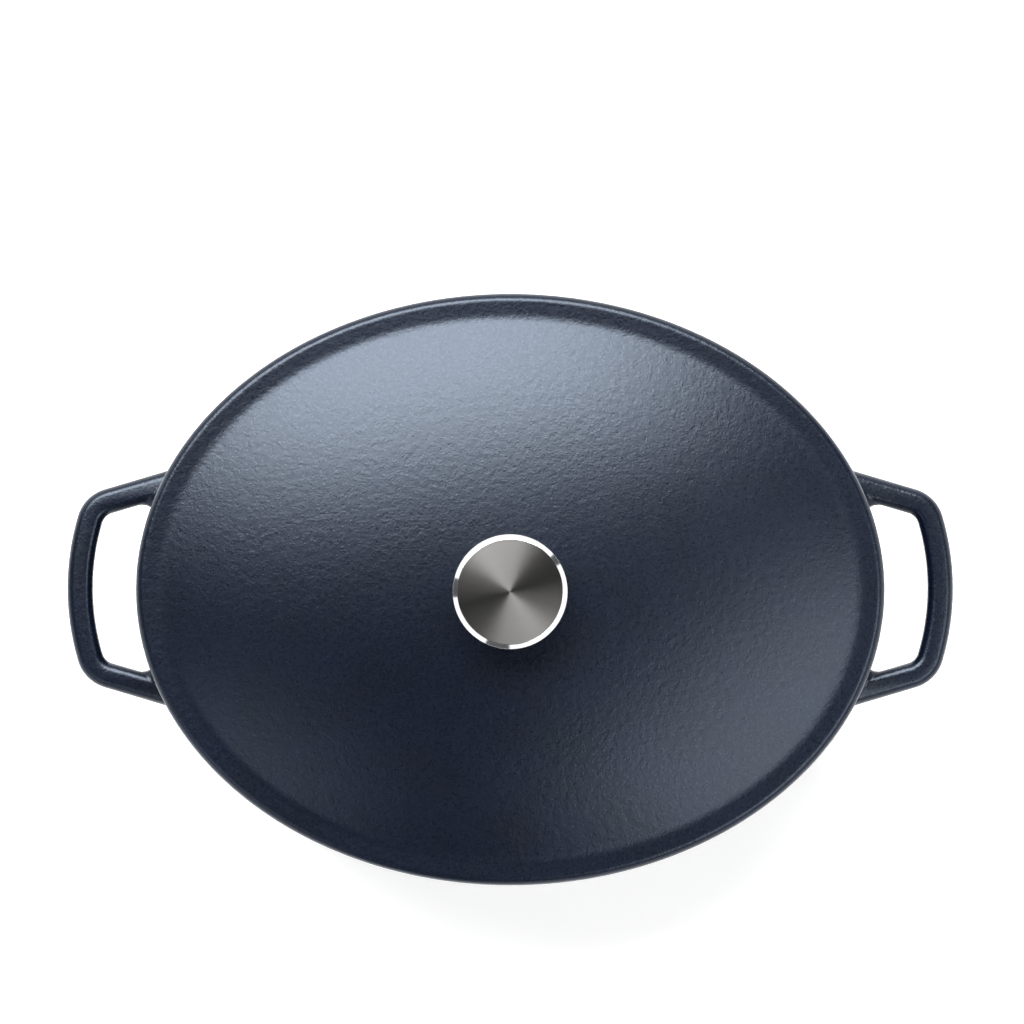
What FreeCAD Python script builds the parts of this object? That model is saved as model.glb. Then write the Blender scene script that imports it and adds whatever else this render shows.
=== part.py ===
"""Oval cast iron dutch oven: an enamelled pot with two cast loop handles, and a lid with a steel knob.

Units are millimetres. The pot stands on the plane z = 0 with its long axis along X, and the knob's
axis is the Z axis. Each piece is written to parts/NODE.step in its place on the closed oven.
"""
import FreeCAD
import Part
import math
import os

from FreeCAD import Vector

# ---- Lid outline: an ellipse, from which every other oval is set in
LID_LENGTH = 315.0
LID_WIDTH = 249.0
LID_OVERHANG = 1.5          # the lid's edge stands this far outside the pot's rim

# ---- Pot
POT_HEIGHT = 108.0
POT_WALL = 4.0
POT_FLOOR = 5.0
POT_DRAFT_DEG = 2.5         # the wall leans in towards the floor, so that the casting leaves its mould
BASE_CORNER_RADIUS = 28.0   # outside radius between wall and base
FOOT_WIDTH = 9.0            # the flat ring that the pot stands on
FOOT_HEIGHT = 0.8           # how far the rest of the base is hollowed above that ring
RIM_BEAD_HEIGHT = 8.0       # the thickened band round the mouth
RIM_BEAD_PROUD = 1.4        # how far it stands outside the wall
RIM_BEAD_BLEND = 2.6        # the radius of both its turns into the wall
RIM_EDGE_RADIUS = 1.3

# ---- Loop handles, cast in one piece with the pot
HANDLE_STANDOFF = 31.8      # from the lid's outline to the outside of the grip bar
HANDLE_BAR_WIDTH = 10.7
HANDLE_BAR_THICKNESS = 9.6
HANDLE_EDGE_RADIUS = 3.4
HANDLE_BEAD_GAP = 2.8       # the plain wall left between the rim's bead and the root fillets
HANDLE_BAR_BOW_RADIUS = 104.0
HANDLE_CORNER_RADIUS = 11.5
HANDLE_CORNER_SPREAD = 35.5     # from the X axis to where the arm's line meets the bar's line
HANDLE_ARM_FLARE_DEG = 16.5     # the arms spread towards the pot
HANDLE_ROOT_RADIUS = 7.0

# ---- Lid
LID_EDGE_HEIGHT = 6.0
LID_EDGE_TOP_RADIUS = 3.4
LID_EDGE_BOTTOM_RADIUS = 1.2
LID_FLANGE_WIDTH = 8.4      # the level band between the outline and the dome
LID_DOME_RISE = 15.0
LID_DOME_BLEND = 2.2        # half the width of the hollow turn between the level band and the dome
LID_SHELL = 4.2             # the dome's thickness
LID_SEAT_GAP = 0.15         # the glaze's high spots keep the lid this far off the rim
LID_LIP_DEPTH = 5.5         # the lip under the lid that keeps it centred in the mouth
LID_LIP_THICKNESS = 3.4
LID_LIP_CLEARANCE = 1.2
LID_LIP_DRAFT = 0.3
LID_LIP_EDGE_RADIUS = 1.1
DRIP_RIDGES = (0.38, 0.60, 0.82)    # places of the drip ridges, as shares of the way out from the centre
DRIP_RIDGE_HEIGHT = 1.4
DRIP_RIDGE_WIDTH = 6.0
KNOB_PAD_RISE = 0.8         # the level pad that the knob stands on
SCREW_PAD_RISE = 0.6        # the level pad under the lid, for the washers
PAD_MARGIN = 1.5            # each pad is this much wider than what stands on it
PAD_EDGE_RADIUS = 0.4
SCREW_HOLE_CLEARANCE = 0.4

# ---- Knob and its fixing
KNOB_RADIUS = 23.5
KNOB_CAP_THICKNESS = 5.5
KNOB_CHAMFER_WIDTH = 1.9
KNOB_CHAMFER_DEPTH = 1.5
KNOB_CAP_UNDER_RADIUS = 1.0
KNOB_SPIGOT_DEPTH = 1.0
KNOB_SPIGOT_CLEARANCE = 0.2
STEM_HEIGHT = 20.6
STEM_BASE_RADIUS = 13.5
STEM_COLLAR_HEIGHT = 2.0
STEM_WAIST_RADIUS = 10.0
STEM_WAIST_HEIGHT = 8.0
STEM_TOP_INSET = 6.0        # the stem's top edge lies this far inside the cap's edge
STEM_WALL = 1.2
STEM_FLOOR = 1.5
STEM_COLLAR_EDGE_RADIUS = 0.6
GASKET_PROUD = 0.5          # the gasket shows this far outside the stem's collar
GASKET_THICKNESS = 1.0
INSERT_ACROSS_FLATS = 11.0
SCREW_RADIUS = 3.0
SCREW_ENGAGEMENT = 13.0     # the length of thread inside the insert
SCREW_TIP_CLEARANCE = 1.0
SCREW_PITCH = 1.0
SCREW_THREAD_DEPTH = 0.61
SCREW_HEAD_RADIUS = 6.0
SCREW_HEAD_HEIGHT = 4.2
SCREW_HEAD_EDGE_RADIUS = 2.2
SCREW_RECESS_SPAN = 7.0
SCREW_RECESS_WIDTH = 1.6
SCREW_RECESS_DEPTH = 2.4
SCREW_BORE_CLEARANCE = 0.05
SEAL_WASHER_RADIUS = 8.5
SEAL_WASHER_THICKNESS = 1.2
FLAT_WASHER_RADIUS = 7.5
FLAT_WASHER_THICKNESS = 1.2
LOCK_WASHER_RADIUS = 5.6
LOCK_WASHER_THICKNESS = 1.5
LOCK_WASHER_GAP = 1.2
LOCK_WASHER_SLIT_DEG = 25.0
WASHER_BORE_CLEARANCE = 0.2

# ---- Sizes that follow from those above
LID_OUTLINE = (LID_LENGTH / 2, LID_WIDTH / 2)
POT_OUTLINE = (LID_OUTLINE[0] - LID_OVERHANG, LID_OUTLINE[1] - LID_OVERHANG)
DRAFT = math.tan(math.radians(POT_DRAFT_DEG))
BEAD_BOTTOM_Z = POT_HEIGHT - RIM_BEAD_HEIGHT - RIM_BEAD_PROUD
HANDLE_Z = BEAD_BOTTOM_Z - HANDLE_BEAD_GAP - HANDLE_ROOT_RADIUS - HANDLE_BAR_THICKNESS / 2
HANDLE_BAR_X = LID_OUTLINE[0] + HANDLE_STANDOFF - HANDLE_BAR_WIDTH / 2
SEAT_Z = POT_HEIGHT + LID_SEAT_GAP
FLANGE_Z = SEAT_Z + LID_EDGE_HEIGHT
DOME_TOP_Z = FLANGE_Z + LID_DOME_RISE
LID_DOME_INSET = LID_FLANGE_WIDTH + LID_DOME_BLEND
KNOB_PAD_Z = DOME_TOP_Z + KNOB_PAD_RISE
SCREW_PAD_Z = DOME_TOP_Z - LID_SHELL - SCREW_PAD_RISE
STEM_Z = KNOB_PAD_Z + GASKET_THICKNESS
CAP_Z = STEM_Z + STEM_HEIGHT
INSERT_Z = STEM_Z + STEM_FLOOR
SCREW_TIP_Z = INSERT_Z + SCREW_ENGAGEMENT
FLAT_WASHER_Z = SCREW_PAD_Z - SEAL_WASHER_THICKNESS - FLAT_WASHER_THICKNESS
LOCK_WASHER_Z = FLAT_WASHER_Z - LOCK_WASHER_THICKNESS
RIM_LAND = POT_WALL + RIM_BEAD_PROUD - RIM_BEAD_HEIGHT * DRAFT     # the rim's width at the mouth
GASKET_RADIUS = STEM_BASE_RADIUS + GASKET_PROUD
KNOB_PAD_RADIUS = GASKET_RADIUS + PAD_MARGIN
SCREW_PAD_RADIUS = SEAL_WASHER_RADIUS + PAD_MARGIN
SCREW_HOLE_RADIUS = SCREW_RADIUS + SCREW_HOLE_CLEARANCE

# The stem's hollow curve is one arc, upright at the waist, that reaches the cap at the top inset.
STEM_RISE = STEM_HEIGHT - STEM_WAIST_HEIGHT
STEM_FLARE = KNOB_RADIUS - STEM_TOP_INSET - STEM_WAIST_RADIUS
STEM_SWEEP_RADIUS = (STEM_FLARE ** 2 + STEM_RISE ** 2) / (2 * STEM_FLARE)

CENTRE_SHARE = 0.04     # the dome's curve ends this near the axis, under the knob's pads
AXIS = Vector(0, 0, 1)


# ---- Oval surfaces
# The pot and lid are ovals at every height. Their surfaces are described by a guide: a chain of
# spans, each a short list of control points (half_length, half_width, height, weight). Turning a
# guide round the Z axis gives an ellipse of that half length and half width at each height.

def on_outline(outline, inset, height, weight=1.0):
    """The control point for an ellipse set in from an outline by the same distance all round."""
    return (outline[0] - inset, outline[1] - inset, height, weight)


def guide_from_corners(outline, corners):
    """A guide of straight spans with rounded corners, from (inset, height, radius) corners."""
    spans = []
    last = on_outline(outline, *corners[0][:2])
    for before, here, after in zip(corners, corners[1:], corners[2:]):
        arrive = (before[0] - here[0], before[1] - here[1])
        leave = (after[0] - here[0], after[1] - here[1])
        arrive_length = math.hypot(*arrive)
        leave_length = math.hypot(*leave)
        cosine = (arrive[0] * leave[0] + arrive[1] * leave[1]) / (arrive_length * leave_length)
        half_opening = math.acos(max(-1.0, min(1.0, cosine))) / 2
        setback = here[2] / math.tan(half_opening)
        start = [here[i] + arrive[i] * setback / arrive_length for i in (0, 1)]
        end = [here[i] + leave[i] * setback / leave_length for i in (0, 1)]
        spans.append([last, on_outline(outline, *start)])
        last = on_outline(outline, *end)
        if here[2] > 0:
            middle = on_outline(outline, here[0], here[1], math.sin(half_opening))
            spans.append([spans[-1][1], middle, last])
    spans.append([last, on_outline(outline, *corners[-1][:2])])
    return spans


def quarter_face(span, quadrant):
    """The quarter of an oval surface that one span of a guide sweeps, in the given quadrant."""
    half = math.pi / 4
    angles = [quadrant * 2 * half + k * half for k in range(3)]
    stretch = (1.0, 1 / math.cos(half), 1.0)
    weights = (1.0, math.cos(half), 1.0)
    poles = []
    pole_weights = []
    for half_length, half_width, height, weight in span:
        poles.append([Vector(half_length * math.cos(a) * s, half_width * math.sin(a) * s, height)
                      for a, s in zip(angles, stretch)])
        pole_weights.append([weight * w for w in weights])
    degree = len(span) - 1
    surface = Part.BSplineSurface()
    surface.buildFromPolesMultsKnots(
        poles, [degree + 1] * 2, [3, 3], [0, 1], [0, 1], False, False, degree, 2, pole_weights)
    return surface.toShape()


def oval_disc(point):
    """The level face inside the ellipse of one control point."""
    half_length, half_width, height, _ = point
    ellipse = Part.Ellipse(Vector(0, 0, height), half_length, half_width)
    quarters = [ellipse.toShape(k * math.pi / 2, (k + 1) * math.pi / 2) for k in range(4)]
    return Part.Face(Part.Wire(quarters))


def oval_faces(span):
    """The faces that one span of a guide sweeps: one level ring, or four curved quarters."""
    start, end = span[0], span[-1]
    if len(span) == 2 and start[2] == end[2]:
        outer, inner = sorted(span, reverse=True)
        return oval_disc(outer).cut(oval_disc(inner)).Faces
    return [quarter_face(span, quadrant) for quadrant in range(4)]


def oval_solid(guide):
    """The solid between a guide's surface and the level discs at the guide's two ends."""
    faces = [face for span in guide for face in oval_faces(span)]
    faces += [oval_disc(guide[0][0]), oval_disc(guide[-1][-1])]
    shell = Part.Shell(faces)
    shell.sewShape()
    solid = Part.Solid(shell)
    if solid.Volume < 0:
        solid.reverse()
    return solid


# ---- Round pieces

def turned(points):
    """A solid of revolution about the Z axis from (radius, height) corners."""
    corners = [Vector(r, 0, z) for r, z in points]
    outline = Part.makePolygon(corners + corners[:1])
    return Part.Face(outline).revolve(Vector(0, 0, 0), AXIS, 360)


def ring_edges(solid, radius, height):
    """A turned solid's circular edges of one radius at one height."""
    found = []
    for edge in solid.Edges:
        curve = edge.Curve
        if isinstance(curve, Part.Circle) and edge.isClosed():
            if abs(curve.Radius - radius) < 1e-4 and abs(curve.Center.z - height) < 1e-4:
                found.append(edge)
    return found


def washer(bottom, thickness, outer, inner):
    """A flat ring about the Z axis."""
    ring = Part.makeCylinder(outer, thickness, Vector(0, 0, bottom))
    return ring.cut(Part.makeCylinder(inner, thickness, Vector(0, 0, bottom)))


# ---- Pot

def pot_outside_corners(inset=0.0):
    """The pot's outside from its rim to its base, set in by a further distance if asked."""
    base_inset = RIM_BEAD_PROUD + BEAD_BOTTOM_Z * DRAFT
    return [
        (inset, POT_HEIGHT, RIM_EDGE_RADIUS),
        (inset, POT_HEIGHT - RIM_BEAD_HEIGHT, RIM_BEAD_BLEND),
        (RIM_BEAD_PROUD + inset, BEAD_BOTTOM_Z, RIM_BEAD_BLEND),
        (base_inset + inset, inset, BASE_CORNER_RADIUS - inset),
    ]


def pot_shell():
    """The pot without its handles: foot, base, wall, rim bead, cavity and floor in one surface."""
    rim, bead_foot, wall_top, base_corner = pot_outside_corners()
    foot_inside = base_corner[0] + BASE_CORNER_RADIUS + FOOT_WIDTH
    inner_radius = BASE_CORNER_RADIUS - POT_WALL
    floor_inset = RIM_LAND + (POT_HEIGHT - POT_FLOOR) * DRAFT
    corners = [
        (foot_inside + 2 * FOOT_WIDTH, FOOT_HEIGHT, 0),
        (foot_inside + FOOT_HEIGHT, FOOT_HEIGHT, 0),
        (foot_inside, 0, 0),
        base_corner,
        wall_top,
        bead_foot,
        rim,
        (RIM_LAND, POT_HEIGHT, RIM_EDGE_RADIUS),
        (floor_inset, POT_FLOOR, inner_radius),
        (floor_inset + 2 * inner_radius, POT_FLOOR, 0),
    ]
    return oval_solid(guide_from_corners(POT_OUTLINE, corners))


def reach_outline(start, direction, inset):
    """How far a level line runs from a point until it crosses the pot's outline, set in all round."""
    half_length = POT_OUTLINE[0] - inset
    half_width = POT_OUTLINE[1] - inset
    point = Vector(start.x / half_length, start.y / half_width, 0)
    step = Vector(direction.x / half_length, direction.y / half_width, 0)
    half_b = point.dot(step)
    square = step.dot(step)
    return (-half_b - math.sqrt(half_b ** 2 - square * (point.dot(point) - 1))) / square


def handle_path():
    """The right-hand handle's centre line, arm, corner, bowed bar, corner, arm, and where it starts."""
    flare = math.radians(HANDLE_ARM_FLARE_DEG)
    bow_centre = Vector(HANDLE_BAR_X - HANDLE_BAR_BOW_RADIUS, 0, 0)
    corner_x = bow_centre.x + math.sqrt(HANDLE_BAR_BOW_RADIUS ** 2 - HANDLE_CORNER_SPREAD ** 2)
    corner = Vector(corner_x, HANDLE_CORNER_SPREAD, 0)
    towards_pot = Vector(-math.cos(flare), math.sin(flare), 0)
    off_arm = Vector(-math.sin(flare), -math.cos(flare), 0)

    # The corner arc's centre lies one corner radius from the arm's line and one inside the bow.
    beside_arm = corner + off_arm * HANDLE_CORNER_RADIUS - bow_centre
    reach = HANDLE_BAR_BOW_RADIUS - HANDLE_CORNER_RADIUS
    half_b = beside_arm.dot(towards_pot)
    run = -half_b - math.sqrt(half_b ** 2 - beside_arm.dot(beside_arm) + reach ** 2)
    centre = bow_centre + beside_arm + towards_pot * run
    arm_end = centre - off_arm * HANDLE_CORNER_RADIUS
    outward = (centre - bow_centre).normalize()
    bar_end = centre + outward * HANDLE_CORNER_RADIUS
    corner_middle = centre + (outward - off_arm).normalize() * HANDLE_CORNER_RADIUS
    cavity_inset = RIM_BEAD_PROUD + BEAD_BOTTOM_Z * DRAFT + POT_WALL
    root = arm_end + towards_pot * reach_outline(arm_end, towards_pot, cavity_inset + HANDLE_BAR_WIDTH)

    def mirrored(point):
        return Vector(point.x, -point.y, 0)

    edges = [
        Part.LineSegment(root, arm_end),
        Part.Arc(arm_end, corner_middle, bar_end),
        Part.Arc(bar_end, Vector(HANDLE_BAR_X, 0, 0), mirrored(bar_end)),
        Part.Arc(mirrored(bar_end), mirrored(corner_middle), mirrored(arm_end)),
        Part.LineSegment(mirrored(arm_end), mirrored(root)),
    ]
    path = Part.Wire([edge.toShape() for edge in edges])
    path.translate(Vector(0, 0, HANDLE_Z))
    return path, root + Vector(0, 0, HANDLE_Z), towards_pot


def handle_section(start, along):
    """The bar's section, a rounded rectangle square to the path at its start."""
    width = HANDLE_BAR_WIDTH
    height = HANDLE_BAR_THICKNESS
    block = Part.makeBox(width, height, 1, Vector(-width / 2, -height / 2, 0))
    upright = [edge for edge in block.Edges if abs(edge.tangentAt(0).z) > 0.9]
    rounded = block.makeFillet(HANDLE_EDGE_RADIUS, upright)
    section = [face for face in rounded.Faces if face.CenterOfMass.z < 1e-6][0].OuterWire
    across = Vector(-along.y, along.x, 0)
    section.Placement = FreeCAD.Placement(start, FreeCAD.Rotation(across, AXIS, along, "ZXY"))
    return section


def handle_bar():
    """One handle, with its arms ending in the middle of the pot's wall."""
    path, start, along = handle_path()
    bar = path.makePipeShell([handle_section(start, along)], True, False)
    core = pot_outside_corners(POT_WALL / 2)
    middle = POT_OUTLINE[1] / 2
    closed = [(middle, core[0][1], 0)] + core + [(middle, core[-1][1], 0)]
    return bar.cut(oval_solid(guide_from_corners(POT_OUTLINE, closed)))


def root_edges(pot):
    """The edges where the handles' arms meet the outside of the pot's wall."""
    found = []
    for edge in pot.Edges:
        box = edge.BoundBox
        level = box.ZMin > HANDLE_Z - HANDLE_BAR_THICKNESS and box.ZMax < HANDLE_Z + HANDLE_BAR_THICKNESS
        if level and max(-box.XMin, box.XMax) < POT_OUTLINE[0] - RIM_BEAD_PROUD:
            found.append(edge)
    return found


def pot_body():
    """The pot's casting: shell and both handles, with the handles' roots filleted."""
    right = handle_bar()
    left = right.mirror(Vector(0, 0, 0), Vector(1, 0, 0))
    pot = pot_shell().fuse([right, left])
    return pot.makeFillet(HANDLE_ROOT_RADIUS, root_edges(pot))


# ---- Lid

def dome_guide(inset, corner_z, top_z, ridges=()):
    """A dome over the ellipse set in from the lid's outline: its corner point, and its spans inwards.

    The dome is a paraboloid that ends at the level centre disc. Its tangent at the first span's
    start passes through the corner point, which lies at corner_z over that ellipse.
    """
    foot = (LID_OUTLINE[0] - inset, LID_OUTLINE[1] - inset)
    first_share = 1 - LID_DOME_BLEND / foot[1]
    rise = (top_z - corner_z) / (1 - (1 - first_share) ** 2)

    def point(share, other_share, drop=0.0):
        middle = (share + other_share) / 2
        return (foot[0] * middle, foot[1] * middle, top_z - rise * share * other_share - drop, 1.0)

    def span(start, end, ridge_height=0.0):
        middle = point(start, end, 2 * ridge_height)
        return [point(start, start), middle, point(end, end)]

    spans = []
    here = first_share
    half_ridge = DRIP_RIDGE_WIDTH / 2 / foot[1]
    for ridge in sorted(ridges, reverse=True):
        spans.append(span(here, ridge + half_ridge))
        spans.append(span(ridge + half_ridge, ridge - half_ridge, DRIP_RIDGE_HEIGHT))
        here = ridge - half_ridge
    spans.append(span(here, CENTRE_SHARE))
    return (foot[0], foot[1], corner_z, 1.0), spans


def lid():
    """The lid's casting: domed shell, level flange, locating lip, drip ridges and the two pads."""
    lip_outside = LID_OVERHANG + RIM_LAND + LID_LIP_CLEARANCE
    lip_inside = lip_outside + LID_LIP_THICKNESS
    lip_z = SEAT_Z - LID_LIP_DEPTH
    under_z = FLANGE_Z - LID_SHELL
    under_corner, under_spans = dome_guide(lip_inside, under_z, DOME_TOP_Z - LID_SHELL, DRIP_RIDGES)
    lip_top = under_z - LID_DOME_BLEND
    edge = guide_from_corners(LID_OUTLINE, [
        (lip_inside, lip_top, 0),
        (lip_inside, lip_z, LID_LIP_EDGE_RADIUS),
        (lip_outside + LID_LIP_DRAFT, lip_z, LID_LIP_EDGE_RADIUS),
        (lip_outside, SEAT_Z, 0),
        (0, SEAT_Z, LID_EDGE_BOTTOM_RADIUS),
        (0, FLANGE_Z, LID_EDGE_TOP_RADIUS),
        (LID_FLANGE_WIDTH, FLANGE_Z, 0),
    ])
    top_corner, top_spans = dome_guide(LID_DOME_INSET, FLANGE_Z, DOME_TOP_Z)
    underside = [span[::-1] for span in reversed(under_spans)]
    under_blend = [[underside[-1][-1], under_corner, edge[0][0]]]
    top_blend = [[edge[-1][-1], top_corner, top_spans[0][0]]]
    casting = oval_solid(underside + under_blend + edge + top_blend + top_spans)

    middle_z = DOME_TOP_Z - LID_SHELL / 2
    knob_pad = Part.makeCylinder(KNOB_PAD_RADIUS, KNOB_PAD_Z - middle_z, Vector(0, 0, middle_z))
    screw_pad = Part.makeCylinder(SCREW_PAD_RADIUS, middle_z - SCREW_PAD_Z, Vector(0, 0, SCREW_PAD_Z))
    knob_pad = knob_pad.makeFillet(PAD_EDGE_RADIUS, ring_edges(knob_pad, KNOB_PAD_RADIUS, KNOB_PAD_Z))
    screw_pad = screw_pad.makeFillet(
        PAD_EDGE_RADIUS, ring_edges(screw_pad, SCREW_PAD_RADIUS, SCREW_PAD_Z))
    hole = Part.makeCylinder(SCREW_HOLE_RADIUS, 2 * LID_SHELL, Vector(0, 0, SCREW_PAD_Z - LID_SHELL / 2))
    return casting.fuse([knob_pad, screw_pad]).cut(hole)


# ---- Knob

def stem_radius(height, wall=0.0):
    """The radius of the stem's hollow curve at a height above its base, or of the wall inside it."""
    sweep = STEM_SWEEP_RADIUS + wall
    centre = STEM_WAIST_RADIUS + STEM_SWEEP_RADIUS
    return centre - math.sqrt(sweep ** 2 - (height - STEM_WAIST_HEIGHT) ** 2)


def stem_point(height, wall=0.0):
    """The point of the stem's hollow curve, or of the wall inside it, at a height above its base."""
    return Vector(stem_radius(height, wall), 0, STEM_Z + height)


def knob_stem():
    """The spun steel stem: a hollow waisted cone with a collar at its base and a floor."""
    bore = SCREW_RADIUS + WASHER_BORE_CLEARANCE
    base = [Vector(bore, 0, STEM_Z), Vector(STEM_BASE_RADIUS, 0, STEM_Z)]
    collar = Vector(STEM_BASE_RADIUS, 0, STEM_Z + STEM_COLLAR_HEIGHT)
    outside = [stem_point(h) for h in (STEM_COLLAR_HEIGHT, STEM_WAIST_HEIGHT, STEM_HEIGHT)]
    inside = [stem_point(h, STEM_WALL) for h in (STEM_HEIGHT, STEM_WAIST_HEIGHT, STEM_FLOOR)]
    floor = Vector(bore, 0, STEM_Z + STEM_FLOOR)
    outline = Part.Wire([
        Part.makeLine(base[0], base[1]),
        Part.makeLine(base[1], collar),
        Part.makeLine(collar, outside[0]),
        Part.Arc(*outside).toShape(),
        Part.makeLine(outside[2], inside[0]),
        Part.Arc(*inside).toShape(),
        Part.makeLine(inside[2], floor),
        Part.makeLine(floor, base[0]),
    ])
    stem = Part.Face(outline).revolve(Vector(0, 0, 0), AXIS, 360)
    collar_edges = ring_edges(stem, STEM_BASE_RADIUS, STEM_Z + STEM_COLLAR_HEIGHT)
    return stem.makeFillet(STEM_COLLAR_EDGE_RADIUS, collar_edges)


def knob_cap():
    """The turned steel disc on top of the stem, with a bevelled upper edge and a spigot below."""
    spigot = stem_radius(STEM_HEIGHT - KNOB_SPIGOT_DEPTH, STEM_WALL) - KNOB_SPIGOT_CLEARANCE
    top = CAP_Z + KNOB_CAP_THICKNESS
    cap = turned([
        (0, CAP_Z - KNOB_SPIGOT_DEPTH),
        (spigot, CAP_Z - KNOB_SPIGOT_DEPTH),
        (spigot, CAP_Z),
        (KNOB_RADIUS, CAP_Z),
        (KNOB_RADIUS, top - KNOB_CHAMFER_DEPTH),
        (KNOB_RADIUS - KNOB_CHAMFER_WIDTH, top),
        (0, top),
    ])
    return cap.makeFillet(KNOB_CAP_UNDER_RADIUS, ring_edges(cap, KNOB_RADIUS, CAP_Z))


def knob_insert():
    """The hexagonal threaded boss, welded under the cap, that stands on the stem's floor."""
    height = CAP_Z - KNOB_SPIGOT_DEPTH - INSERT_Z
    corner_radius = INSERT_ACROSS_FLATS / math.sqrt(3)
    turns = [k * math.pi / 3 for k in range(7)]
    hexagon = [Vector(corner_radius * math.cos(a), corner_radius * math.sin(a), INSERT_Z) for a in turns]
    boss = Part.Face(Part.makePolygon(hexagon)).extrude(AXIS * height)
    bore = Part.makeCylinder(
        SCREW_RADIUS + SCREW_BORE_CLEARANCE, SCREW_ENGAGEMENT + SCREW_TIP_CLEARANCE, Vector(0, 0, INSERT_Z))
    return boss.cut(bore)


def knob_gasket():
    """The silicone ring between the knob and the lid's glaze."""
    return washer(KNOB_PAD_Z, GASKET_THICKNESS, GASKET_RADIUS, SCREW_RADIUS + WASHER_BORE_CLEARANCE)


def seal_washer():
    """The silicone washer that seals the screw's hole from below."""
    bottom = SCREW_PAD_Z - SEAL_WASHER_THICKNESS
    return washer(bottom, SEAL_WASHER_THICKNESS, SEAL_WASHER_RADIUS, SCREW_RADIUS + WASHER_BORE_CLEARANCE)


def flat_washer():
    """The steel washer under the seal washer."""
    return washer(
        FLAT_WASHER_Z, FLAT_WASHER_THICKNESS, FLAT_WASHER_RADIUS, SCREW_RADIUS + WASHER_BORE_CLEARANCE)


def lock_washer():
    """The split spring washer above the screw's head, pressed flat."""
    ring = washer(
        LOCK_WASHER_Z, LOCK_WASHER_THICKNESS, LOCK_WASHER_RADIUS, SCREW_RADIUS + WASHER_BORE_CLEARANCE)
    slit = Part.makeBox(
        2 * LOCK_WASHER_RADIUS, LOCK_WASHER_GAP, 4 * LOCK_WASHER_THICKNESS,
        Vector(0, -LOCK_WASHER_GAP / 2, -2 * LOCK_WASHER_THICKNESS))
    slit.rotate(Vector(0, 0, 0), Vector(1, 0, 0), LOCK_WASHER_SLIT_DEG)
    slit.translate(Vector(0, 0, LOCK_WASHER_Z + LOCK_WASHER_THICKNESS / 2))
    return ring.cut(slit)


def knob_screw():
    """The pan-head screw, with its thread drawn as rings and a cross recess in its head."""
    bottom = LOCK_WASHER_Z - SCREW_HEAD_HEIGHT
    thread_root = SCREW_RADIUS - SCREW_THREAD_DEPTH
    profile = [(0, bottom), (SCREW_HEAD_RADIUS, bottom)]
    profile += [(SCREW_HEAD_RADIUS, LOCK_WASHER_Z), (SCREW_RADIUS, LOCK_WASHER_Z)]
    rings = int((SCREW_TIP_Z - STEM_Z) / SCREW_PITCH)
    for k in range(rings, 0, -1):
        crest = SCREW_TIP_Z - k * SCREW_PITCH
        profile += [(SCREW_RADIUS, crest), (thread_root, crest + SCREW_PITCH / 2)]
    profile += [(thread_root, SCREW_TIP_Z), (0, SCREW_TIP_Z)]
    screw = turned(profile)
    screw = screw.makeFillet(SCREW_HEAD_EDGE_RADIUS, ring_edges(screw, SCREW_HEAD_RADIUS, bottom))
    span = SCREW_RECESS_SPAN
    width = SCREW_RECESS_WIDTH
    slots = [
        Part.makeBox(span, width, SCREW_RECESS_DEPTH, Vector(-span / 2, -width / 2, bottom)),
        Part.makeBox(width, span, SCREW_RECESS_DEPTH, Vector(-width / 2, -span / 2, bottom)),
    ]
    return screw.cut(slots)


PIECES = {
    "pot_body": pot_body,
    "lid": lid,
    "knob_cap": knob_cap,
    "knob_stem": knob_stem,
    "knob_insert": knob_insert,
    "knob_gasket": knob_gasket,
    "knob_screw": knob_screw,
    "seal_washer": seal_washer,
    "flat_washer": flat_washer,
    "lock_washer": lock_washer,
}


def main():
    os.makedirs("parts", exist_ok=True)
    for name, make in PIECES.items():
        shape = make()
        if not shape.isValid():
            raise ValueError(name + " is not a valid solid")
        shape.exportStep(os.path.join("parts", name + ".step"))
        print(name, "solids", len(shape.Solids), "volume_cm3", round(shape.Volume / 1000, 3))


main()
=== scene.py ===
"""Looks for an oval enamelled cast iron oven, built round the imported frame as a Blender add-on.

The pot and the lid are remodelled as smooth castings with their enamel coats; the knob's cap is
remodelled as a turned disc. The stem, the fixings and the seals keep their frame meshes.
Lengths are in metres, in the frame's own axes: Z is the knob's axis and X the oval's long axis.
"""
import math

import bmesh
import bpy
from bpy.props import FloatProperty, FloatVectorProperty, IntProperty, PointerProperty
from mathutils import Matrix, Vector
from mathutils.bvhtree import BVHTree


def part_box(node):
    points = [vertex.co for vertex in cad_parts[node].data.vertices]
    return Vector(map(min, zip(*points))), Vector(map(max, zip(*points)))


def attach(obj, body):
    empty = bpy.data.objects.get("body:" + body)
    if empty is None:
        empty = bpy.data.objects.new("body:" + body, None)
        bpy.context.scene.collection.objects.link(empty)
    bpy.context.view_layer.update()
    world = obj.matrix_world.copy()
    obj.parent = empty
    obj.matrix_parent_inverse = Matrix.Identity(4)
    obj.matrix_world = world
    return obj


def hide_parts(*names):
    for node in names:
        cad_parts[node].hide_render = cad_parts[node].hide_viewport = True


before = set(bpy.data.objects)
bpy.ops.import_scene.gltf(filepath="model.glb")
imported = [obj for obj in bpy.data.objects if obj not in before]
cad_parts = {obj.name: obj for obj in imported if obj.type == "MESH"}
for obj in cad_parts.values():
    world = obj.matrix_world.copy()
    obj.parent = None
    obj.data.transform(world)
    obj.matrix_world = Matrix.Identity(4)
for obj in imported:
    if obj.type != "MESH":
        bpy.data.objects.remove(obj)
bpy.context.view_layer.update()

bl_info = {
    "name": "Oval cast iron oven",
    "version": (1, 0, 0),
    "blender": (4, 5, 0),
    "location": "3D View > Sidebar > Oven",
    "description": "Models an oval enamelled oven with a lift-off lid and a steel knob",
    "category": "Add Mesh",
}

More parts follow.
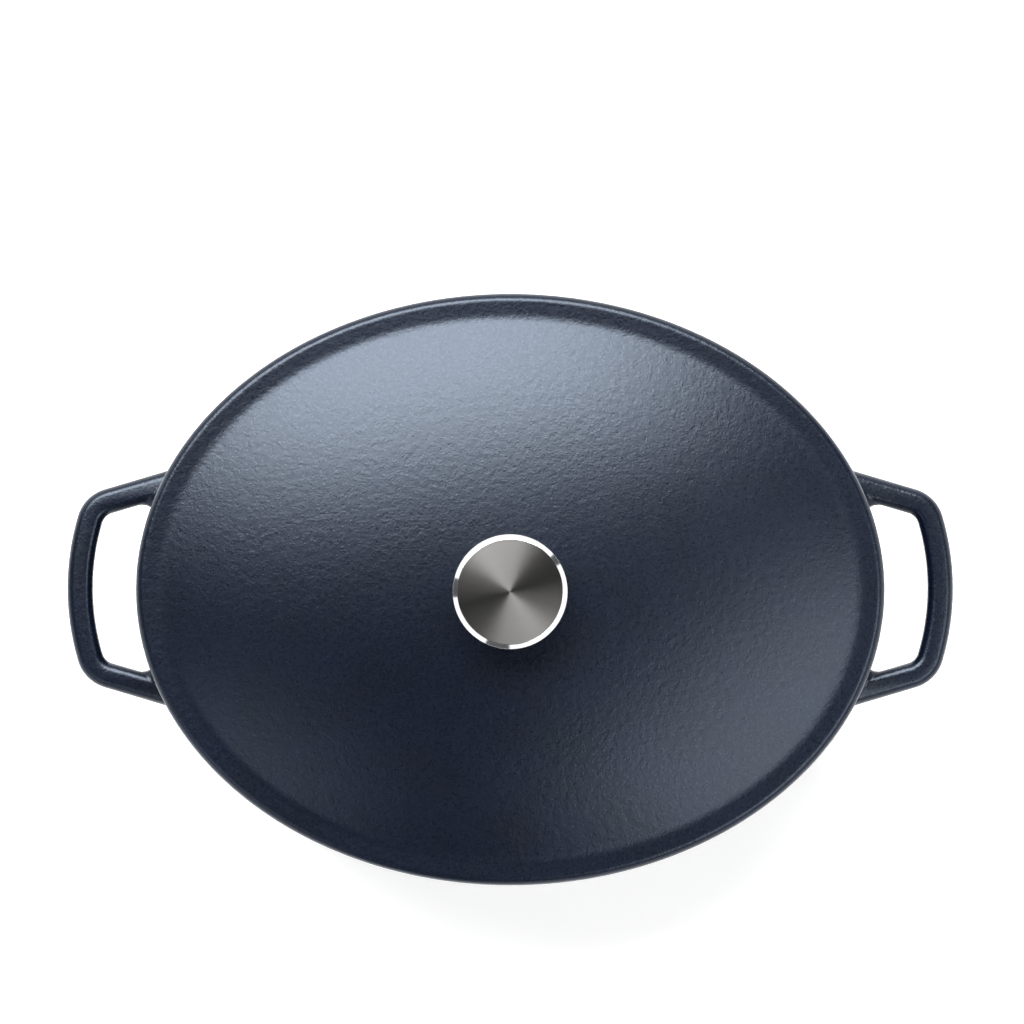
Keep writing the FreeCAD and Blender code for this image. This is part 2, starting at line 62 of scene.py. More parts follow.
MM = 0.001
MERGE = 0.001 * MM
GLASS_IOR = 1.52
POT_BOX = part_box("pot_body")
LID_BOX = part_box("lid")
CAP_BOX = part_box("knob_cap")
GASKET_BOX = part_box("knob_gasket")
SEAL_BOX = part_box("seal_washer")


def linear(hex_colour):
    """An sRGB hex colour as linear red, green and blue."""
    channels = [int(hex_colour[i:i + 2], 16) / 255 for i in (1, 3, 5)]
    return tuple(c / 12.92 if c <= 0.04045 else ((c + 0.055) / 1.055) ** 2.4 for c in channels)


def size(name, description, millimetres):
    """A length property, given in millimetres and kept in metres."""
    return FloatProperty(
        name=name, description=description, default=millimetres * MM, unit="LENGTH", precision=4)


def colour(name, description, hex_colour):
    """A colour property from its sRGB hex value."""
    return FloatVectorProperty(
        name=name, description=description, default=linear(hex_colour), subtype="COLOR", min=0, max=1)


# ---- Settings

class CastingSettings(bpy.types.PropertyGroup):
    """Sizes that the pot and the lid share."""
    segments: IntProperty(name="Segments", description="Faces round each oval", default=224)
    arc_steps: IntProperty(name="Arc steps", description="Faces across each rounded corner", default=7)
    overhang: size("Overhang", "How far the lid's edge stands outside the pot's rim", 1.5)
    wall: size("Wall", "Thickness of the pot's wall", 4.0)
    draft: FloatProperty(
        name="Draft", description="Lean of the pot's wall", default=math.radians(2.5), subtype="ANGLE")
    bead_height: size("Bead height", "Height of the thickened band round the mouth", 8.0)
    bead_proud: size("Bead proud", "How far the band stands outside the wall", 1.4)


class PotSettings(bpy.types.PropertyGroup):
    """Sizes of the pot and its loop handles."""
    floor: size("Floor", "Thickness of the pot's floor", 5.0)
    base_radius: size("Base radius", "Outside radius between wall and base", 28.0)
    foot_width: size("Foot width", "Width of the ring that the pot stands on", 9.0)
    foot_height: size("Foot height", "Hollow of the base inside that ring", 0.8)
    bead_blend: size("Bead blend", "Radius of the band's turns into the wall", 2.6)
    rim_radius: size("Rim radius", "Radius of the rim's two edges", 1.3)
    bar_width: size("Bar width", "Width of the handles' bar, seen from above", 10.7)
    bar_thickness: size("Bar thickness", "Height of the handles' bar", 9.6)
    bar_edge: size("Bar edge", "Radius of the bar's long edges", 3.4)
    bar_bow: size("Bar bow", "Radius of the grip's outward bow", 104.0)
    corner_radius: size("Corner radius", "Radius of the handles' corners", 11.5)
    corner_spread: size("Corner spread", "From the long axis to each handle corner", 35.5)
    arm_flare: FloatProperty(
        name="Arm flare", description="Spread of the arms towards the pot",
        default=math.radians(16.5), subtype="ANGLE")
    bead_gap: size("Bead gap", "Plain wall between the band and the handles' roots", 2.8)
    root_radius: size("Root radius", "Fillet where the arms join the wall", 7.0)
    root_sink: size("Root sink", "How far the arms' ends go into the wall", 1.6)


class LidSettings(bpy.types.PropertyGroup):
    """Sizes of the lid."""
    seat_gap: size("Seat gap", "Height of the lid's seat above the rim", 0.15)
    edge_height: size("Edge height", "Height of the lid's outer edge", 6.0)
    edge_top_radius: size("Upper edge radius", "Radius of the outer edge's upper corner", 3.4)
    edge_bottom_radius: size("Lower edge radius", "Radius of the outer edge's lower corner", 1.2)
    flange: size("Level band", "Width of the level band round the dome", 8.4)
    rise: size("Rise", "Rise of the dome above the band", 15.0)
    blend: size("Blend", "Half the width of the hollow turn below the dome", 2.2)
    shell: size("Shell", "Thickness of the dome", 4.2)
    lip_depth: size("Lip depth", "Depth of the locating lip", 5.5)
    lip_thickness: size("Lip thickness", "Thickness of the locating lip", 3.4)
    lip_clearance: size("Lip clearance", "Side play of the lip in the mouth", 1.2)
    lip_draft: size("Lip draft", "Lean of the lip's outside", 0.3)
    lip_edge: size("Lip edge", "Radius of the lip's edges", 1.1)
    ridge_height: size("Ridge height", "Height of the drip ridges", 1.4)
    ridge_width: size("Ridge width", "Width of the drip ridges", 6.0)
    pad_margin: size("Pad margin", "Width of the pads outside the gasket and the seal", 1.5)
    pad_edge: size("Pad edge", "Radius of the pads' edges", 0.4)
    hole_radius: size("Hole radius", "Radius of the screw's hole", 3.4)


class KnobSettings(bpy.types.PropertyGroup):
    """Sizes of the knob's cap."""
    chamfer_width: size("Bevel width", "Width of the polished bevel, seen from above", 1.9)
    chamfer_depth: size("Bevel depth", "Height of the polished bevel", 1.5)
    under_radius: size("Under radius", "Radius of the lower edge", 1.0)
    spigot_depth: size("Spigot depth", "Depth of the boss inside the stem", 1.0)
    spigot_radius: size("Spigot radius", "Radius of the boss inside the stem", 13.6)
    edge_break: size("Edge break", "Softened width of the turned edges", 0.12)
    segments: IntProperty(name="Segments", description="Faces round the disc", default=160)


class FinishSettings(bpy.types.PropertyGroup):
    """Colours of the enamels, metals and seals."""
    navy: colour("Navy", "Outside enamel", "#040919")
    navy_deep: colour("Deep navy", "Outside enamel where it lies thick", "#030713")
    navy_gloss: colour("Navy gloss", "Tint of the outside enamel's highlights", "#dcebff")
    cream: colour("Cream", "Inside enamel", "#efe6d4")
    cream_deep: colour("Deep cream", "Inside enamel where it lies thick", "#ebe0cb")
    ground: colour("Ground coat", "Black enamel on the rims and the foot", "#17181b")
    steel: colour("Steel", "Polished stainless steel", "#dddbd8")
    zinc: colour("Zinc", "Zinc-plated steel", "#b3b7ba")
    silicone: colour("Silicone", "Black silicone", "#1d1e20")
    ground_worn: colour("Worn ground coat", "Black enamel on its high spots", "#2b2c2f")
    # Painted shade: both brushed-steel shades are set far darker than polished steel, which darkens the
    # knob's whole top face; the rings alternate between them.
    brushed: colour("Brushed steel", "Brushed face of the knob, in its bright lines", "#666564")
    brushed_dull: colour("Dull brushed steel", "Brushed face of the knob, in its dark lines", "#5c5b5a")
    steel_dull: colour("Dull steel", "Polished stainless steel in its duller patches", "#d2d0cc")
    zinc_dull: colour("Dull zinc", "Zinc-plated steel in its darker patches", "#9a9fa5")
    silicone_dusty: colour("Dusty silicone", "Black silicone under its bloom", "#2c2d30")


class StageSettings(bpy.types.PropertyGroup):
    """The floor, the camera and the lamps."""
    camera_height: size("Camera height", "Height of the camera above the lid's rim", 1600.0)
    view_width: size("View width", "Width of the view at the lid's rim", 430.0)
    camera_x: size("Camera along", "Camera's place along the oval's long axis", 0.75)
    camera_y: size("Camera across", "Camera's place along the oval's short axis", 32.6)
    floor_half: size("Floor", "Half the floor's side", 4000.0)
    floor_colour: colour("Floor colour", "The pale floor", "#f4f4f4")
    floor_shade: colour("Floor shade", "The pale floor in its faint patches", "#f1f1f1")
    floor_glow: FloatProperty(name="Floor glow", description="Light from under the paper floor", default=0.38)
    key_radiance: FloatProperty(name="Key", description="Radiance of the large softbox", default=14.3)
    fill_radiance: FloatProperty(name="Fill", description="Radiance of the wide softbox", default=4.4)
    kicker_radiance: FloatProperty(name="Kicker", description="Radiance of the small softbox", default=1.8)
    horizon: FloatProperty(name="Horizon", description="Radiance of the room's walls", default=1.5)
    zenith: FloatProperty(name="Zenith", description="Radiance of the room overhead", default=0.0)


SETTINGS = (
    ("casting", CastingSettings), ("pot", PotSettings), ("lid", LidSettings),
    ("knob", KnobSettings), ("finish", FinishSettings), ("stage", StageSettings),
)


# ---- Node helper

def add_node(tree, kind, settings=None, links=None):
    """Adds a shader node, sets its properties and inputs, and links sockets to its inputs."""
    node = tree.nodes.new(kind)
    for key, value in (settings or {}).items():
        if isinstance(key, str) and hasattr(node, key):
            setattr(node, key, value)
        else:
            node.inputs[key].default_value = value
    for key, socket in (links or {}).items():
        tree.links.new(socket, node.inputs[key])
    return node


def per_mm(feature):
    """The noise scale whose features are about that many millimetres."""
    return 1 / (feature * MM)


def new_material(name):
    """An empty material with a Principled shader, its node tree and the object coordinates."""
    material = bpy.data.materials.new(name)
    material.use_nodes = True
    tree = material.node_tree
    tree.nodes.clear()
    shader = add_node(tree, "ShaderNodeBsdfPrincipled")
    add_node(tree, "ShaderNodeOutputMaterial", links={"Surface": shader.outputs["BSDF"]})
    place = add_node(tree, "ShaderNodeTexCoord").outputs["Object"]
    return material, tree, shader, place


# ---- Finishes

def mottled(tree, place, feature, low, high, detail=3.0):
    """A colour that drifts between two shades in patches of the given size in millimetres."""
    grain = {"Scale": per_mm(feature), "Detail": detail}
    patches = add_node(tree, "ShaderNodeTexNoise", grain, {"Vector": place})
    limits = {"From Min": 0.35, "From Max": 0.65}
    share = add_node(tree, "ShaderNodeMapRange", limits, {"Value": patches.outputs["Fac"]})
    shades = {"data_type": "RGBA", 6: (*low, 1), 7: (*high, 1)}
    return add_node(tree, "ShaderNodeMix", shades, {0: share.outputs["Result"]}).outputs[2]


def varied(tree, place, feature, low, high):
    """A number that drifts between two limits in patches of the given size in millimetres."""
    grain = {"Scale": per_mm(feature), "Detail": 2.0}
    patches = add_node(tree, "ShaderNodeTexNoise", grain, {"Vector": place})
    limits = {"From Min": 0.3, "From Max": 0.7, "To Min": low, "To Max": high}
    return add_node(tree, "ShaderNodeMapRange", limits, {"Value": patches.outputs["Fac"]}).outputs["Result"]


def rippled(tree, place, feature, depth, under=None, detail=2.0):
    """A surface with bumps of the given size and depth in millimetres."""
    grain = {"Scale": per_mm(feature), "Detail": detail, "Roughness": 0.6}
    height = add_node(tree, "ShaderNodeTexNoise", grain, {"Vector": place})
    links = {"Height": height.outputs["Fac"]}
    if under:
        links["Normal"] = under
    return add_node(tree, "ShaderNodeBump", {"Distance": depth * MM}, links).outputs["Normal"]


def satin_navy_enamel():
    """Satin vitreous enamel, sprayed and fired on sand-cast iron.

    The eye sees deep blue glass with a fine pebbled skin, which spreads each lamp into a soft glow
    and breaks it up into grains of light and dark.
    """
    finish = bpy.context.scene.oven_finish
    material, tree, shader, place = new_material("satin_navy_enamel")
    tree.links.new(mottled(tree, place, 26.0, finish.navy_deep, finish.navy), shader.inputs["Base Color"])
    tree.links.new(varied(tree, place, 1.1, 0.26, 0.32), shader.inputs["Roughness"])
    shader.inputs["IOR"].default_value = GLASS_IOR
    shader.inputs["Specular Tint"].default_value = (*finish.navy_gloss, 1)
    peel = rippled(tree, place, 2.8, 0.10)
    tree.links.new(rippled(tree, place, 0.85, 0.07, peel), shader.inputs["Normal"])
    return material


def gloss_cream_enamel():
    """Gloss enamel inside: smooth pale glass with faint waves and a few dark specks of iron."""
    finish = bpy.context.scene.oven_finish
    material, tree, shader, place = new_material("gloss_cream_enamel")
    body = mottled(tree, place, 40.0, finish.cream_deep, finish.cream, 2.0)
    dots = add_node(tree, "ShaderNodeTexNoise", {"Scale": per_mm(1.3), "Detail": 0.0}, {"Vector": place})
    limits = {"From Min": 0.76, "From Max": 0.80, "To Max": 0.55}
    share = add_node(tree, "ShaderNodeMapRange", limits, {"Value": dots.outputs["Fac"]})
    specks = {"data_type": "RGBA", 7: (*finish.ground, 1)}
    speckled = add_node(tree, "ShaderNodeMix", specks, {0: share.outputs["Result"], 6: body})
    tree.links.new(speckled.outputs[2], shader.inputs["Base Color"])
    tree.links.new(varied(tree, place, 12.0, 0.10, 0.15), shader.inputs["Roughness"])
    shader.inputs["IOR"].default_value = GLASS_IOR
    tree.links.new(rippled(tree, place, 9.0, 0.04), shader.inputs["Normal"])
    return material


def black_ground_enamel():
    """Black ground-coat enamel on the rims and the foot: thin, matt and grainy, greyer on its high spots."""
    finish = bpy.context.scene.oven_finish
    material, tree, shader, place = new_material("black_ground_enamel")
    tree.links.new(mottled(tree, place, 0.9, finish.ground, finish.ground_worn), shader.inputs["Base Color"])
    tree.links.new(varied(tree, place, 2.0, 0.48, 0.62), shader.inputs["Roughness"])
    tree.links.new(rippled(tree, place, 0.8, 0.05, None, 3.0), shader.inputs["Normal"])
    return material


def spin_brushed_steel():
    """Stainless steel brushed on a lathe: fine rings that smear the lamps into an hourglass.

    The rings are drawn about 0.3 mm apart, several times coarser than real ones, so that they show.
    """
    finish = bpy.context.scene.oven_finish
    material, tree, shader, place = new_material("spin_brushed_steel")
    polar = add_node(tree, "ShaderNodeUVMap", {"uv_map": "polar"}).outputs["UV"]
    flattened = add_node(tree, "ShaderNodeMapping", {"Scale": (1.0, 0.0, 1.0)}, {"Vector": polar})
    rings = flattened.outputs["Vector"]
    # Painted shade: the face's colour is far darker than that of polished steel, and alternates between its
    # two shades in rings round the axis.
    shades = mottled(tree, rings, 0.3, finish.brushed_dull, finish.brushed)
    tree.links.new(shades, shader.inputs["Base Color"])
    shader.inputs["Metallic"].default_value = 1.0
    tree.links.new(varied(tree, rings, 0.5, 0.36, 0.40), shader.inputs["Roughness"])
    shader.inputs["Anisotropic"].default_value = 0.95
    along = add_node(tree, "ShaderNodeTangent", {"direction_type": "UV_MAP", "uv_map": "polar"})
    tree.links.new(along.outputs["Tangent"], shader.inputs["Tangent"])
    return material


def polished_steel():
    """Polished stainless steel: close to a mirror, with faint smears and turning marks round the axis."""
    finish = bpy.context.scene.oven_finish
    material, tree, shader, place = new_material("polished_steel")
    tree.links.new(mottled(tree, place, 8.0, finish.steel_dull, finish.steel), shader.inputs["Base Color"])
    shader.inputs["Metallic"].default_value = 1.0
    tree.links.new(varied(tree, place, 7.0, 0.06, 0.12), shader.inputs["Roughness"])
    stretched = add_node(tree, "ShaderNodeMapping", {"Scale": (0.02, 0.02, 1.0)}, {"Vector": place})
    tree.links.new(rippled(tree, stretched.outputs["Vector"], 0.3, 0.0008), shader.inputs["Normal"])
    return material


def zinc_plated_steel():
    """Zinc-plated steel for the screw, its insert and the washers: a bluish, blotchy satin metal."""
    finish = bpy.context.scene.oven_finish
    material, tree, shader, place = new_material("zinc_plated_steel")
    tree.links.new(mottled(tree, place, 2.0, finish.zinc_dull, finish.zinc), shader.inputs["Base Color"])
    shader.inputs["Metallic"].default_value = 1.0
    tree.links.new(varied(tree, place, 0.7, 0.24, 0.36), shader.inputs["Roughness"])
    return material


def black_silicone():
    """Moulded black silicone for the seals: matt, with a faint dusty bloom."""
    finish = bpy.context.scene.oven_finish
    material, tree, shader, place = new_material("black_silicone")
    shades = mottled(tree, place, 3.0, finish.silicone, finish.silicone_dusty)
    tree.links.new(shades, shader.inputs["Base Color"])
    tree.links.new(varied(tree, place, 1.0, 0.55, 0.68), shader.inputs["Roughness"])
    shader.inputs["Sheen Weight"].default_value = 0.15
    tree.links.new(rippled(tree, place, 0.4, 0.01), shader.inputs["Normal"])
    return material


MAKERS = {
    maker.__name__: maker for maker in (
        satin_navy_enamel, gloss_cream_enamel, black_ground_enamel, spin_brushed_steel,
        polished_steel, zinc_plated_steel, black_silicone)
}


def finish_named(name):
    """The material of that name, made the first time it is asked for."""
    return bpy.data.materials.get(name) or MAKERS[name]()


# ---- Castings

NAVY, GROUND, CREAM = 0, 1, 2
CASTING_FINISHES = ("satin_navy_enamel", "black_ground_enamel", "gloss_cream_enamel")


def arc_point(start, corner, end, weight, share):
    """A point of the conic between two tangent points, whose tangents meet at the corner."""
    a = (1 - share) ** 2
    b = 2 * share * (1 - share) * weight
    c = share ** 2
    return (start * a + corner * b + end * c) / (a + b + c)


def rounded(corners, steps):
    """Stations (inset, height, coat) along an outline of (inset, height, radius, coat) corners.

    A corner's coat covers its arc and the straight stretch that follows. Each long stretch gets a
    station near both its ends, which keeps it straight under smooth shading.
    """
    support = 0.5 * MM
    stations = [(corners[0][0], corners[0][1], corners[0][3])]
    for before, here, after in zip(corners, corners[1:], corners[2:] + corners[-1:]):
        corner = Vector(here[:2])
        arrive = (Vector(before[:2]) - corner).normalized()
        leave = (Vector(after[:2]) - corner).normalized()
        half_opening = arrive.angle(leave) / 2 if here[2] else 0.0
        start = corner + arrive * (here[2] / math.tan(half_opening) if here[2] else 0.0)
        last = Vector(stations[-1][:2])
        run = start - last
        if run.length > 3 * support:
            edge = run.normalized() * support
            stations += [(*(last + edge), before[3]), (*(start - edge), before[3])]
        stations.append((*start, before[3]))
        if here[2]:
            end = corner + leave * (start - corner).length
            for k in range(1, steps + 1):
                point = arc_point(start, corner, end, math.sin(half_opening), k / steps)
                stations.append((*point, here[3]))
    return stations


def inset_from(outline, stations):
    """Turns (inset, height, coat) stations into (half length, half width, height, coat) ovals."""
    return [(outline[0] - inset, outline[1] - inset, height, coat) for inset, height, coat in stations]


def next_loop(bm, edges, coat=NAVY):
    """Extrudes a loop of edges in place, coats the new faces, and returns the new verts and edges."""
    made = bmesh.ops.extrude_edge_only(bm, edges=edges)["geom"]
    verts = [g for g in made if isinstance(g, bmesh.types.BMVert)]
    fresh = set(verts)
    for g in made:
        if isinstance(g, bmesh.types.BMFace):
            g.material_index = coat
    return verts, [g for g in made if isinstance(g, bmesh.types.BMEdge) and fresh.issuperset(g.verts)]


def oval_rings(bm, stations, segments):
    """Sweeps level ovals through their stations, and returns the first and the last loop of edges."""
    length, width, height, _ = stations[0]
    verts = bmesh.ops.create_circle(bm, segments=segments, radius=1.0)["verts"]
    first = edges = list({e for v in verts for e in v.link_edges})
    bmesh.ops.scale(bm, vec=(length, width, 1), verts=verts)
    bmesh.ops.translate(bm, vec=(0, 0, height), verts=verts)
    for new_length, new_width, new_height, coat in stations[1:]:
        verts, edges = next_loop(bm, edges, coat)
        bmesh.ops.scale(bm, vec=(new_length / length, new_width / width, 1), verts=verts)
        bmesh.ops.translate(bm, vec=(0, 0, new_height - height), verts=verts)
        length, width, height = new_length, new_width, new_height
    return first, edges


def close_level(bm, edges, coat):
    """Closes a level loop with a fan round its middle."""
    verts, _ = next_loop(bm, edges, coat)
    middle = sum((v.co for v in verts), Vector()) / len(verts)
    bmesh.ops.pointmerge(bm, verts=verts, merge_co=middle)


def finished_piece(name, bm, body, slot, finishes, *nodes):
    """Makes a smooth-shaded object from a bmesh, with its finishes and its place in the frame."""
    bmesh.ops.recalc_face_normals(bm, faces=bm.faces)
    for face in bm.faces:
        face.smooth = True
    mesh = bpy.data.meshes.new(name)
    bm.to_mesh(mesh)
    bm.free()
    for finish in finishes:
        mesh.materials.append(finish_named(finish))
    piece = bpy.data.objects.new(name, mesh)
    bpy.context.scene.collection.objects.link(piece)
    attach(piece, body)
    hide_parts(*nodes)
    return piece


def rim_land():
    """The width of the pot's rim at the mouth."""
    casting = bpy.context.scene.oven_casting
    return casting.wall + casting.bead_proud - casting.bead_height * math.tan(casting.draft)


def pot_outline():
    """Half the length and half the width of the pot's rim."""
    overhang = bpy.context.scene.oven_casting.overhang
    return LID_BOX[1].x - overhang, LID_BOX[1].y - overhang


# ---- Pot

def pot_stations():
    """The pot's ovals, from the base's hollow over the rim to the floor of the cavity."""
    scene = bpy.context.scene
    casting, pot = scene.oven_casting, scene.oven_pot
    lean = math.tan(casting.draft)
    top = POT_BOX[1].z
    bead_bottom = top - casting.bead_height - casting.bead_proud
    base_inset = casting.bead_proud + bead_bottom * lean
    foot_inside = base_inset + pot.base_radius + pot.foot_width
    inner_radius = pot.base_radius - casting.wall
    floor_inset = rim_land() + (top - pot.floor) * lean
    coat_edge = 2 * pot.rim_radius
    return inset_from(pot_outline(), rounded([
        (foot_inside + 2 * pot.foot_width, pot.foot_height, 0, GROUND),
        (foot_inside + pot.foot_height, pot.foot_height, 0.5 * MM, GROUND),
        (foot_inside, 0, 0.4 * MM, GROUND),
        (foot_inside - pot.foot_width, 0, 0, NAVY),
        (base_inset, 0, pot.base_radius - 0.1 * MM, NAVY),
        (casting.bead_proud, bead_bottom, pot.bead_blend, NAVY),
        (0, top - casting.bead_height, pot.bead_blend, NAVY),
        (0, top - coat_edge, 0, GROUND),
        (0, top, pot.rim_radius, GROUND),
        (rim_land(), top, pot.rim_radius, GROUND),
        (rim_land() + coat_edge * lean, top - coat_edge, 0, CREAM),
        (floor_inset, pot.floor, inner_radius, CREAM),
        (floor_inset + 2 * inner_radius, pot.floor, 0, CREAM),
    ], casting.arc_steps))


def grip_stations():
    """Half of the right-hand handle as (place, heading) stations, from the grip's middle along an arm.

    The bar is a bowed grip, a rounded corner, and an arm that spreads towards the pot.
    """
    scene = bpy.context.scene
    casting, pot = scene.oven_casting, scene.oven_pot
    bead_bottom = POT_BOX[1].z - casting.bead_height - casting.bead_proud
    height = bead_bottom - pot.bead_gap - pot.root_radius - pot.bar_thickness / 2
    bow_middle = Vector((POT_BOX[1].x - pot.bar_width / 2 - pot.bar_bow, 0, height))
    corner = bow_middle + Vector((math.sqrt(pot.bar_bow ** 2 - pot.corner_spread ** 2), pot.corner_spread, 0))
    to_pot = Vector((-math.cos(pot.arm_flare), math.sin(pot.arm_flare), 0))
    off_arm = Vector((-math.sin(pot.arm_flare), -math.cos(pot.arm_flare), 0))

    # The corner arc touches the arm's line and the inside of the bow.
    beside = corner + off_arm * pot.corner_radius - bow_middle
    half_b = beside.dot(to_pot)
    reach = pot.bar_bow - pot.corner_radius
    run = -half_b - math.sqrt(half_b ** 2 - beside.length_squared + reach ** 2)
    corner_middle = bow_middle + beside + to_pot * run
    outward = (corner_middle - bow_middle).normalized()
    bow_angle = math.atan2(outward.y, outward.x)
    arm_angle = math.pi / 2 - pot.arm_flare

    stations = []
    for middle, radius, start, end, steps in (
            (bow_middle, pot.bar_bow, 0.0, bow_angle, 8),
            (corner_middle, pot.corner_radius, bow_angle, arm_angle, 10)):
        for k in range(1 if stations else 0, steps + 1):
            angle = start + (end - start) * k / steps
            spoke = Vector((math.cos(angle), math.sin(angle), 0))
            stations.append((middle + spoke * radius, Vector((-spoke.y, spoke.x, 0))))
    return stations


def facing(place, heading):
    """The matrix that stands a section at a place, square to its heading and upright."""
    across = Vector((heading.y, -heading.x, 0))
    turn = Matrix((across, (0, 0, 1), heading)).transposed()
    return Matrix.Translation(place) @ turn.to_4x4()


def spread_root(bm, edges, heading, wall):
    """Runs an arm on to the wall, spreads its end in a fillet, and sinks and caps it inside."""
    pot = bpy.context.scene.oven_pot
    steps = bpy.context.scene.oven_casting.arc_steps
    verts, edges = next_loop(bm, edges)
    middle = sum((v.co for v in verts), Vector()) / len(verts)
    fillets = []
    for vert in verts:
        hit, normal, _, _ = wall.ray_cast(vert.co, heading)
        off_bar = vert.co - middle
        along_wall = (off_bar - normal * off_bar.dot(normal)).normalized()
        half_opening = (-heading).angle(along_wall) / 2
        setback = pot.root_radius / math.tan(half_opening)
        fillets.append((hit - heading * setback, hit, hit + along_wall * setback, math.sin(half_opening)))
    for k in range(steps + 1):
        if k:
            verts, edges = next_loop(bm, edges)
        for vert, fillet in zip(verts, fillets):
            vert.co = arc_point(*fillet, k / steps)
    just_inside = 0.02 * MM
    for vert in verts:
        place, normal, _, _ = wall.find_nearest(vert.co)
        vert.co = place - normal * just_inside
    verts, edges = next_loop(bm, edges)
    bmesh.ops.translate(bm, vec=heading * pot.root_sink, verts=verts)
    bmesh.ops.contextual_create(bm, geom=edges)


def handles(bm, wall):
    """Both loop handles: half of one is extruded along its line and spread at its root, then mirrored."""
    pot = bpy.context.scene.oven_pot
    half = bmesh.new()
    section = bmesh.ops.create_grid(half, x_segments=1, y_segments=1, size=0.5)["verts"]
    bmesh.ops.scale(half, vec=(pot.bar_width, pot.bar_thickness, 1), verts=section)
    bmesh.ops.bevel(
        half, geom=half.verts[:], offset=pot.bar_edge, segments=6, profile=0.5, affect="VERTICES",
        offset_type="OFFSET", material=-1)
    bmesh.ops.delete(half, geom=half.faces[:], context="FACES_ONLY")
    stations = grip_stations()
    placed = facing(*stations[0])
    bmesh.ops.transform(half, matrix=placed, verts=half.verts)
    edges = half.edges[:]
    for station in stations[1:]:
        verts, edges = next_loop(half, edges)
        target = facing(*station)
        bmesh.ops.transform(half, matrix=target @ placed.inverted(), verts=verts)
        placed = target
    spread_root(half, edges, stations[-1][1], wall)
    for axis in "YX":
        bmesh.ops.mirror(half, geom=half.verts[:] + half.edges[:] + half.faces[:], axis=axis,
                         matrix=Matrix.Identity(4), merge_dist=MERGE)
    mesh = bpy.data.meshes.new("handles")
    half.to_mesh(mesh)
    half.free()
    bm.from_mesh(mesh)
    bpy.data.meshes.remove(mesh)


class OVEN_OT_pot(bpy.types.Operator):
    """Models the pot's casting with both handles"""
    bl_idname = "oven.pot"
    bl_label = "Pot"

    def execute(self, context):
        bm = bmesh.new()
        first, last = oval_rings(bm, pot_stations(), context.scene.oven_casting.segments)
        close_level(bm, first, GROUND)
        close_level(bm, last, CREAM)
        bmesh.ops.recalc_face_normals(bm, faces=bm.faces)
        handles(bm, BVHTree.FromBMesh(bm))
        finished_piece("pot_casting", bm, "pot", "enamelled_iron", CASTING_FINISHES, "pot_body")
        return {"FINISHED"}


# ---- Lid

# The drip ridges' places, as shares of the way from the lid's middle to the lip.
RIDGE_SHARES = (0.38, 0.60, 0.82)


def dome_stations(start, foot_inset, corner_z, top_z, coat, ridges=()):
    """A dome's ovals, from the level band's edge or the lip's inside over the hollow turn to its middle."""
    lid = bpy.context.scene.oven_lid
    steps = bpy.context.scene.oven_casting.arc_steps
    foot = Vector((LID_BOX[1].x - foot_inset, LID_BOX[1].y - foot_inset, corner_z))
    first_share = 1 - lid.blend / foot.y
    rise = (top_z - corner_z) / (1 - (1 - first_share) ** 2)
    half_ridge = lid.ridge_width / 2 / foot.y

    def oval(share):
        drop = 0.0
        for ridge in ridges:
            across = (share - ridge + half_ridge) / (2 * half_ridge)
            drop += 4 * lid.ridge_height * max(0.0, across * (1 - across))
        return Vector((foot.x * share, foot.y * share, top_z - rise * share ** 2 - drop))

    ovals = [arc_point(start, foot, oval(first_share), 1.0, k / steps) for k in range(steps + 1)]
    shares = {k / 40 for k in range(7, 39)}
    for ridge in ridges:
        shares |= {ridge + half_ridge * (k / 5 - 1) for k in range(11)}
        shares -= {s for s in shares if 0 < half_ridge * 1.15 - abs(s - ridge) < half_ridge * 0.14}
    ovals += [oval(share) for share in sorted(shares, reverse=True)]
    return [(*place, coat) for place in ovals]


def pad_stations(dome_z, pad_z, radius, coat):
    """A round pad on the dome's middle, from its foot to the screw hole's edge."""
    lid = bpy.context.scene.oven_lid
    step = math.copysign(lid.pad_edge, pad_z - dome_z)
    edge = (1 - math.sqrt(0.5)) * lid.pad_edge
    rings = [
        (radius + 0.4 * MM, dome_z), (radius, dome_z), (radius, pad_z - step),
        (radius - edge, pad_z - step * (1 - math.sqrt(0.5))), (radius - lid.pad_edge, pad_z),
        (radius - 2 * lid.pad_edge, pad_z), (lid.hole_radius + 0.3 * MM, pad_z), (lid.hole_radius, pad_z)]
    return [(r, r, z, coat) for r, z in rings]


